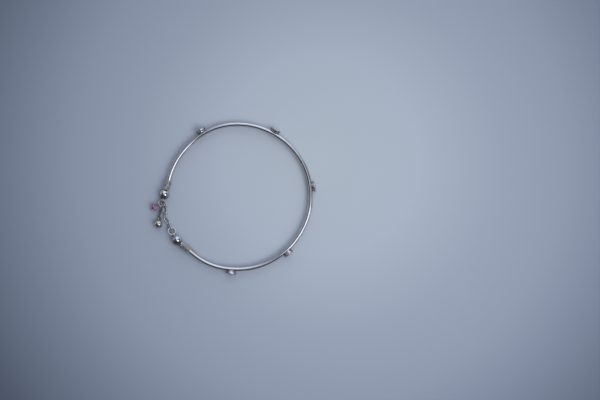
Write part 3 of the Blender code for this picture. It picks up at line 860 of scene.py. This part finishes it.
def floor_paper():
    """Smooth pale blue-grey card with a faint grain and a painted pool of light, lightest beside
    the hoop.
    """
    material, tree, shader = new_material("pale_card")
    coordinates = object_coordinates(tree)
    heart = SHIFT + Vector((*FLOOR_HEART, 0.0))
    away = vector_node(tree, "DISTANCE", coordinates, heart)
    share = range_node(tree, away.outputs["Value"], 0.0, FLOOR_FADE, 0.0, 1.0)
    # painted pool of light: the card's colour darkens with distance from the hoop
    tree.links.new(ramp_node(tree, share, FLOOR_LIGHT_POOL_STOPS), shader.inputs["Base Color"])
    grain = noise_node(tree, coordinates, FLOOR_GRAIN_SCALE, 4.0)
    normal = bump_node(tree, grain, FLOOR_GRAIN, FLOOR_GRAIN_DEPTH)
    tree.links.new(normal, shader.inputs["Normal"])
    shader.inputs["Roughness"].default_value = FLOOR_ROUGHNESS
    return material


# Pieces


def stud_profile():
    """Half outline of a flared button, from its domed face down to its waisted foot."""
    top = ROD_RADIUS + STUD_HEIGHT
    edge = STUD_RIM_THICKNESS / 2
    face = HOOP_HEIGHT - edge
    profile = [(0.0, top + STUD_DOME)]
    for step in range(1, STUD_DOME_STEPS + 1):
        share = step / STUD_DOME_STEPS
        profile.append((face * share, top + STUD_DOME * (1.0 - share**2)))
    for step in range(1, STUD_RIM_STEPS + 1):
        angle = math.radians(90.0 - STUD_RIM_STEP_DEG * step)
        profile.append((face + edge * math.cos(angle), top - edge + edge * math.sin(angle)))
    foot = ROD_RADIUS - STUD_SINK
    rim_low = top - STUD_RIM_THICKNESS
    shoulder = face + edge * STUD_SHOULDER_SHARE
    for step in range(1, STUD_WAIST_STEPS + 1):
        share = step / STUD_WAIST_STEPS
        radius = shoulder + (STUD_BASE_RADIUS - shoulder) * math.sin(math.pi / 2 * share)
        profile.append((radius, rim_low + STUD_SHOULDER_RISE + (foot - rim_low) * share))
    return profile + [(STUD_BASE_RADIUS * share, foot - depth) for share, depth in STUD_FOOT_ROWS]


def rod_path():
    """The rod's middle line and radii: arc, straight ends, and the pins let into the balls."""
    span = UPPER_END_DEG - LOWER_END_DEG
    steps = round(span)
    places = [number / END_STEPS for number in range(1, END_STEPS)]
    points = [LOWER.ball, LOWER.at(LOWER.rod_along + PIN_SHOULDER), LOWER.at(LOWER.rod_along)]
    points += [LOWER.at(LOWER.rod_along * place) for place in reversed(places)]
    points += [hoop_point(LOWER_END_DEG + span * number / steps) for number in range(steps + 1)]
    points += [UPPER.at(UPPER.rod_along * place) for place in places]
    points += [UPPER.at(UPPER.rod_along), UPPER.at(UPPER.rod_along + PIN_SHOULDER), UPPER.ball]
    radii = [ROD_RADIUS] * len(points)
    for i in (0, 1, -1, -2):
        radii[i] = PIN_RADIUS
    return points, radii


def wave_skin(bm):
    """Lets the rod's skin wander a little, as on a rod that was rounded by hand."""
    for vert in bm.verts:
        outward = (vert.co - SHIFT - Vector((0.0, 0.0, HOOP_HEIGHT))).normalized()
        vert.co += outward * noise.noise(vert.co * ROD_WAVE_SCALE) * ROD_WAVE


def add_stud(bm, angle):
    """A stud at an angle of the hoop; its flank and waist take the second material."""
    matrix = placed(hoop_point(angle), axis_frame(heading(angle, 0.0)))
    first_face = len(bm.faces)
    lathe(bm, stud_profile(), STUD_SIDES, matrix)
    bm.faces.ensure_lookup_table()
    # the flank and waist get the stud finish, whose near-black painted shade stands in for the
    # dark reflections on the stud's sides
    for face in bm.faces[first_face + STUD_FACE_ROWS * STUD_SIDES:]:
        face.material_index = 1


def build_hoop(material, stud_material):
    bm = bmesh.new()
    points, radii = rod_path()
    sweep(bm, moved(points, Matrix.Translation(SHIFT)), radii, ROD_SIDES, round_ends=False)
    wave_skin(bm)
    for angle in STUD_ANGLES_DEG:
        add_stud(bm, angle)
    hoop = add_piece(finished(bm, "hoop"), material, "hoop")
    hoop.data.materials.append(stud_material)


def rope(bm, path, outward):
    """Two thin wires twisted together along a path; outward is the rope's side at each point."""
    length = 0.0
    strands = ([], [])
    for i, point in enumerate(path):
        if i:
            length += (point - path[i - 1]).length
        tangent = (path[min(i + 1, len(path) - 1)] - path[max(i - 1, 0)]).normalized()
        side = outward[i].normalized()
        side = (side - tangent * side.dot(tangent)).normalized()
        across = tangent.cross(side)
        angle = 2 * math.pi * length / TWIST_LENGTH
        spoke = side * math.cos(angle) + across * math.sin(angle)
        strands[0].append(point + spoke * STRAND_OFFSET)
        strands[1].append(point - spoke * STRAND_OFFSET)
    for strand in strands:
        sweep(bm, strand, STRAND_RADIUS, STRAND_SIDES)


def build_sleeve(name, end, material):
    matrix = placed(end.start, axis_frame(end.direction))
    margin = STRAND_RADIUS + STRAND_OFFSET
    length = end.sleeve_length - 2 * margin
    turns = length / ROPE_PITCH
    around = 2 * math.pi * ROPE_COIL_RADIUS
    steps = round(turns * around / TWIST_LENGTH * TWIST_STEPS)
    path = []
    outward = []
    for step in range(steps + 1):
        share = step / steps
        angle = 2 * math.pi * turns * share
        spoke = Vector((math.cos(angle), math.sin(angle), 0.0)) * ROPE_COIL_RADIUS
        middle = Vector((0.0, 0.0, margin + length * share))
        path.append(matrix @ (middle + spoke))
        outward.append(path[-1] - matrix @ middle)
    bm = bmesh.new()
    rope(bm, path, outward)
    if name == "lower_sleeve":
        build_tail(bm)
    add_piece(finished(bm, name), material, name)


def build_tail(bm):
    """The wound wire's end, lying along the rod's inner side."""
    offset = ROPE_COIL_RADIUS + TAIL_STANDOFF
    sweep_deg = math.degrees(TAIL_LENGTH / HOOP_RADIUS)
    steps = round(TAIL_LENGTH / TWIST_LENGTH * TWIST_STEPS)
    path = []
    outward = []
    for step in range(-TAIL_ROOT_STEPS, steps + 1):
        angle = LOWER_END_DEG + sweep_deg * step / steps
        base = hoop_point(angle)
        if step < 0:
            base = LOWER.at(-TAIL_ROOT_LENGTH * step / TAIL_ROOT_STEPS)
        side = heading(angle + 180.0, TAIL_LIFT_DEG)
        path.append(SHIFT + base + side * offset)
        outward.append(side)
    rope(bm, path, outward)


def add_fillet(bm, outline, seat, matrix):
    """A mound of solder, from (radius, height above the seat) points."""
    lathe(bm, [(radius, seat + height) for radius, height in outline], FILLET_SIDES, matrix)


def build_ball(name, end, material):
    bm = bmesh.new()
    bore = PIN_RADIUS + FIT_GAP
    mouth = math.degrees(math.asin(bore / BALL_RADIUS)) - 90.0
    profile = [(0.0, BALL_RADIUS)] + arc(BALL_RADIUS, 90.0, mouth, BALL_STEPS)[1:]
    profile += [(bore, -BALL_RADIUS * BALL_BORE_SHARE), (bore, FIT_GAP), (0.0, FIT_GAP)]
    lathe(bm, profile, BALL_SIDES, placed(end.ball, axis_frame(end.direction)))
    eye = placed(end.eye, lying_frame(end.eye_direction, 90.0))
    radius = (EYE_WIRE + WIRE_SWELL) / 2
    sweep(bm, moved(ring_path(EYE_RADIUS), eye), radius, WIRE_SIDES, closed=True)
    seat = BALL_RADIUS * EYE_FILLET_SEAT
    add_fillet(bm, EYE_FILLET, seat, placed(end.ball, axis_frame(end.eye_direction)))
    add_piece(finished(bm, name), material, name)


def solder_radii(points, wire, seam):
    """A closed wire's radii, swollen a little where it was soldered shut."""
    radii = []
    for point in points:
        away = (point - points[seam]).length / SOLDER_LENGTH * 2
        radii.append(wire / 2 * (1.0 + SOLDER_GROWTH * math.exp(-(away**2))))
    return radii


def build_wire(name, path, wire, matrix, material, seam=None, closed=True):
    bm = bmesh.new()
    wire += WIRE_SWELL
    radius = wire / 2 if seam is None else solder_radii(path, wire, seam)
    sweep(bm, moved(path, matrix), radius, WIRE_SIDES, closed=closed)
    add_piece(finished(bm, name), material, name)


def build_links(material):
    """Cable links that lean to either side in turn."""
    length = LINK_LENGTH - LINK_WIRE
    path = oval_path(length, LINK_WIDTH - LINK_WIRE)
    for number in range(LINKS):
        start, end = JOINTS[number:number + 2]
        direction = (end - start).normalized()
        middle = (start + end) / 2
        lean = LINK_LEAN_DEG
        if number == 0:
            middle = start + direction * length / 2
            lean = FIRST_LINK_LEAN_DEG
        if (LINKS - number) % 2:
            lean = -lean
        matrix = placed(middle, lying_frame(direction, lean))
        name = f"chain_link_{number + 1}"
        build_wire(name, path, LINK_WIRE, matrix, material, seam=OVAL_SEAM)


def build_chain(material):
    build_links(material)
    start, end = JOINTS[LINKS:LINKS + 2]
    matrix = placed((start + end) / 2, lying_frame(end - start, HOOK_LEAN_DEG))
    build_wire("s_hook", hook_path(), HOOK_WIRE, matrix, material, closed=False)
    matrix = placed(CLOSING_CENTRE, lying_frame(CLOSING_DIRECTION, CLOSING_RING_LEAN_DEG))
    path = ring_path(CLOSING_RING_RADIUS)
    build_wire("closing_ring", path, CLOSING_RING_WIRE, matrix, material, seam=RING_SEAM)


def bead_rows():
    """The cut bead's rows of corners: radius, height, and turn in facets."""
    table = CRYSTAL_LENGTH / 2
    shoulder = table * CRYSTAL_SHOULDER_HEIGHT
    bore = CRYSTAL_PIN_WIRE / 2 + FIT_GAP
    table_radius = CRYSTAL_RADIUS * CRYSTAL_TABLE_SHARE
    shoulder_radius = CRYSTAL_RADIUS * CRYSTAL_SHOULDER_SHARE
    return (
        (bore, table, 0.5),
        (table_radius, table, 0.0),
        (shoulder_radius, shoulder, 0.5),
        (CRYSTAL_RADIUS, 0.0, 0.0),
        (shoulder_radius, -shoulder, 0.5),
        (table_radius, -table, 0.0),
        (bore, -table, 0.5),
    )


def build_bead(middle, direction, glass):
    bm = bmesh.new()
    matrix = placed(middle, axis_frame(direction, 180.0 / CRYSTAL_FACETS))
    rows = bead_rows()
    rings = []
    for radius, height, turn in rows:
        ring = []
        for facet in range(CRYSTAL_FACETS):
            angle = 2 * math.pi * (facet + turn) / CRYSTAL_FACETS
            corner = Vector((radius * math.cos(angle), radius * math.sin(angle), height))
            ring.append(bm.verts.new(matrix @ corner))
        rings.append(ring)
    for row, first, second in zip(rows, rings, rings[1:]):
        for i in range(CRYSTAL_FACETS):
            j = (i + 1) % CRYSTAL_FACETS
            if row[2] == 0.0:
                bm.faces.new((first[i], first[j], second[i]))
                bm.faces.new((first[j], second[j], second[i]))
            else:
                bm.faces.new((first[i], second[j], second[i]))
                bm.faces.new((first[i], first[j], second[j]))
    bridge(bm, rings[-1], rings[0])
    add_piece(finished(bm, "crystal", smooth=False), glass, "crystal")


def build_crystal(charms, glass, metal):
    direction = charms.crystal_direction
    near_end = CRYSTAL_LOOP_RADIUS + CRYSTAL_PIN_WIRE / 2 + FIT_GAP
    build_bead(charms.crystal_loop + direction * (near_end + CRYSTAL_LENGTH / 2), direction, glass)
    bm = bmesh.new()
    radius = CRYSTAL_PIN_WIRE / 2
    loop = placed(charms.crystal_loop, charms.crystal_axes)
    sweep(bm, moved(ring_path(CRYSTAL_LOOP_RADIUS), loop), radius, PIN_SIDES, closed=True)
    head_along = near_end + CRYSTAL_LENGTH + FIT_GAP + CRYSTAL_HEAD_RADIUS
    head = charms.crystal_loop + direction * head_along
    stem_start = charms.crystal_loop + direction * CRYSTAL_LOOP_RADIUS
    sweep(bm, [SHIFT + stem_start, SHIFT + head], radius, PIN_SIDES)
    outline = arc(CRYSTAL_HEAD_RADIUS, 90.0, -90.0, CRYSTAL_HEAD_STEPS)
    lathe(bm, outline, CRYSTAL_HEAD_SIDES, placed(head, axis_frame(direction)))
    add_piece(finished(bm, "crystal_pin"), metal, "crystal_pin")


def bell_shell(matrix):
    """The hollow bell before its slit is cut."""
    bm = bmesh.new()
    outer = sphere_outline(BELL_RADIUS, BELL_OUTER_STEPS, BELL_SEAM)
    inner = sphere_outline(BELL_RADIUS - BELL_WALL, BELL_INNER_STEPS, 0.0)
    lathe(bm, outer, BELL_OUTER_SIDES, matrix)
    lathe(bm, inner[::-1], BELL_INNER_SIDES, matrix)
    return finished(bm, "bell_shell", smooth=False)


def hole_cutter(matrix, side):
    """Cuts the round hole at one end of the bell's slit."""
    bm = bmesh.new()
    x = side * BELL_RADIUS * BELL_SLIT_REACH
    line = [matrix @ Vector((x, 0.0, BELL_RADIUS * place)) for place in BELL_HOLE_SPAN]
    sweep(bm, line, BELL_SLIT_HOLE_RADIUS, BELL_HOLE_SIDES, round_ends=False)
    return finished(bm, "bell_hole", smooth=False)


def build_bell(charms, material):
    matrix = placed(charms.bell, axis_frame(-charms.bell_direction))
    cutters = [slit_cutter(matrix), hole_cutter(matrix, -1), hole_cutter(matrix, 1)]
    bm = bmesh.new()
    bm.from_mesh(cut_mesh(bell_shell(matrix), cutters))
    loop = placed(charms.bell_loop, charms.bell_axes)
    radius = (BELL_LOOP_WIRE + WIRE_SWELL) / 2
    sweep(bm, moved(ring_path(BELL_LOOP_RADIUS), loop), radius, BELL_LOOP_SIDES, closed=True)
    add_fillet(bm, BELL_FILLET, BELL_RADIUS - BELL_FILLET_SINK, matrix)
    add_piece(finished(bm, "bell", BELL_SHARP_DEG), material, "bell")


def slit_cutter(matrix):
    bm = bmesh.new()
    bmesh.ops.create_cube(bm, size=1.0)
    size = (BELL_RADIUS * BELL_SLIT_REACH * 2, BELL_SLIT_WIDTH, BELL_RADIUS)
    bmesh.ops.scale(bm, vec=size, verts=bm.verts)
    below = matrix @ Matrix.Translation((0.0, 0.0, -BELL_RADIUS))
    bmesh.ops.transform(bm, matrix=below, verts=bm.verts)
    return finished(bm, "bell_slit", smooth=False)


def cut_mesh(mesh, cutters):
    """The mesh with each cutter taken out of it."""
    body = bpy.data.objects.new("cut_body", mesh)
    bpy.context.scene.collection.objects.link(body)
    helpers = []
    for number, cutter in enumerate(cutters):
        helper = bpy.data.objects.new(f"cutter_{number}", cutter)
        bpy.context.scene.collection.objects.link(helper)
        helpers.append(helper)
        modifier = body.modifiers.new(helper.name, "BOOLEAN")
        modifier.operation = "DIFFERENCE"
        modifier.object = helper
        modifier.solver = "EXACT"
    evaluated = body.evaluated_get(bpy.context.evaluated_depsgraph_get())
    result = bpy.data.meshes.new_from_object(evaluated)
    for obj in helpers + [body]:
        bpy.data.objects.remove(obj)
    return result


def sphere_outline(radius, steps, seam):
    """Half outline of a ball, with a thin raised seam at its middle."""
    outline = []
    for step in range(steps + 1):
        angle = math.radians(90.0 - 180.0 * step / steps)
        rise = seam * math.exp(-((angle / BELL_SEAM_SPREAD) ** 2))
        away = radius - seam + rise
        outline.append((away * math.cos(angle), away * math.sin(angle)))
    return outline


def build_charms(material, glass):
    charms = Charms()
    matrix = placed(charms.ring, charms.ring_axes)
    path = ring_path(CHARM_RING_RADIUS)
    build_wire("charm_ring", path, CHARM_RING_WIRE, matrix, material)
    matrix = placed(charms.link, charms.link_axes)
    path = oval_path(BELL_LINK_LENGTH - BELL_LINK_WIRE, BELL_LINK_WIDTH - BELL_LINK_WIRE)
    build_wire("bell_link", path, BELL_LINK_WIRE, matrix, material, seam=OVAL_SEAM)
    matrix = placed(charms.bell_ring, charms.bell_ring_axes)
    path = ring_path(BELL_RING_RADIUS)
    build_wire("bell_ring", path, BELL_RING_WIRE, matrix, material)
    build_crystal(charms, glass, material)
    build_bell(charms, material)


# Stage


def build_camera():
    data = bpy.data.cameras.new("camera")
    camera = bpy.data.objects.new("camera", data)
    bpy.context.scene.collection.objects.link(camera)
    camera.location = SHIFT + Vector((*VIEW_CENTRE, CAMERA_HEIGHT))
    view_width = METRES_PER_PIXEL * IMAGE_WIDTH
    data.sensor_width = SENSOR_WIDTH
    data.lens = SENSOR_WIDTH * (CAMERA_HEIGHT - HOOP_HEIGHT) / view_width
    bpy.context.scene.camera = camera


def build_floor():
    mesh = bpy.data.meshes.new("floor")
    signs = ((-1, -1), (1, -1), (1, 1), (-1, 1))
    corners = [(x * FLOOR_SIZE, y * FLOOR_SIZE, 0.0) for x, y in signs]
    mesh.from_pydata(corners, [], [(0, 1, 2, 3)])
    floor = bpy.data.objects.new("floor", mesh)
    mesh.materials.append(floor_paper())
    bpy.context.scene.collection.objects.link(floor)


def area_light(name, size, power):
    """A square soft light that looks at the hoop's middle."""
    data = bpy.data.lights.new(name, "AREA")
    data.shape = "RECTANGLE"
    data.size = data.size_y = size
    data.energy = power
    data.color = LIGHT_COLOUR
    light = bpy.data.objects.new(name, data)
    outward = heading(LIGHT_AZIMUTH_DEG, LIGHT_SLOPE_DEG)
    light.location = SHIFT + outward * LIGHT_DISTANCE
    light.rotation_euler = outward.to_track_quat("Z", "Y").to_euler()
    bpy.context.scene.collection.objects.link(light)
    return light


def build_world():
    """A dim studio with soft glows that add up, brightest beyond the hoop's far side."""
    world = bpy.data.worlds.new("studio")
    world.use_nodes = True
    bpy.context.scene.world = world
    tree = world.node_tree
    background = tree.nodes["Background"]
    coordinates = tree.nodes.new("ShaderNodeTexCoord").outputs["Generated"]
    total = None
    for azimuth, elevation, inner, outer, colour in SURROUND_GLOWS:
        toward = vector_node(tree, "DOT_PRODUCT", coordinates, heading(azimuth, elevation))
        edge = (math.cos(math.radians(outer)), math.cos(math.radians(inner)))
        share = range_node(tree, toward.outputs["Value"], *edge, 0.0, 1.0)
        share.node.interpolation_type = "SMOOTHSTEP"
        glow = vector_node(tree, "MULTIPLY_ADD", share, colour)
        glow.inputs[2].default_value = SURROUND_BASE
        if total:
            tree.links.new(total, glow.inputs[2])
        total = glow.outputs["Vector"]
    tree.links.new(total, background.inputs["Color"])
    background.inputs["Strength"].default_value = SURROUND_STRENGTH


def main():
    build_camera()
    build_hoop(silver("hoop_silver"), silver("stud_silver"))
    wound = silver("rope_silver")
    build_sleeve("upper_sleeve", UPPER, wound)
    build_sleeve("lower_sleeve", LOWER, wound)
    # the balls get a painted dark reflection on the side turned from the bright surround
    mirror = silver("end_ball_silver", heading(*BALL_LIT_SIDE_DEG))
    build_ball("upper_ball", UPPER, mirror)
    build_ball("lower_ball", LOWER, mirror)
    build_chain(silver("link_silver"))
    build_charms(silver("charm_metal"), crystal_glass())
    build_floor()
    build_world()
    bpy.context.scene.view_settings.view_transform = "Standard"
    area_light("key", KEY_SIZE, KEY_POWER)
    fill = area_light("fill", FILL_SIZE, FILL_POWER)
    fill.visible_glossy = False


main()
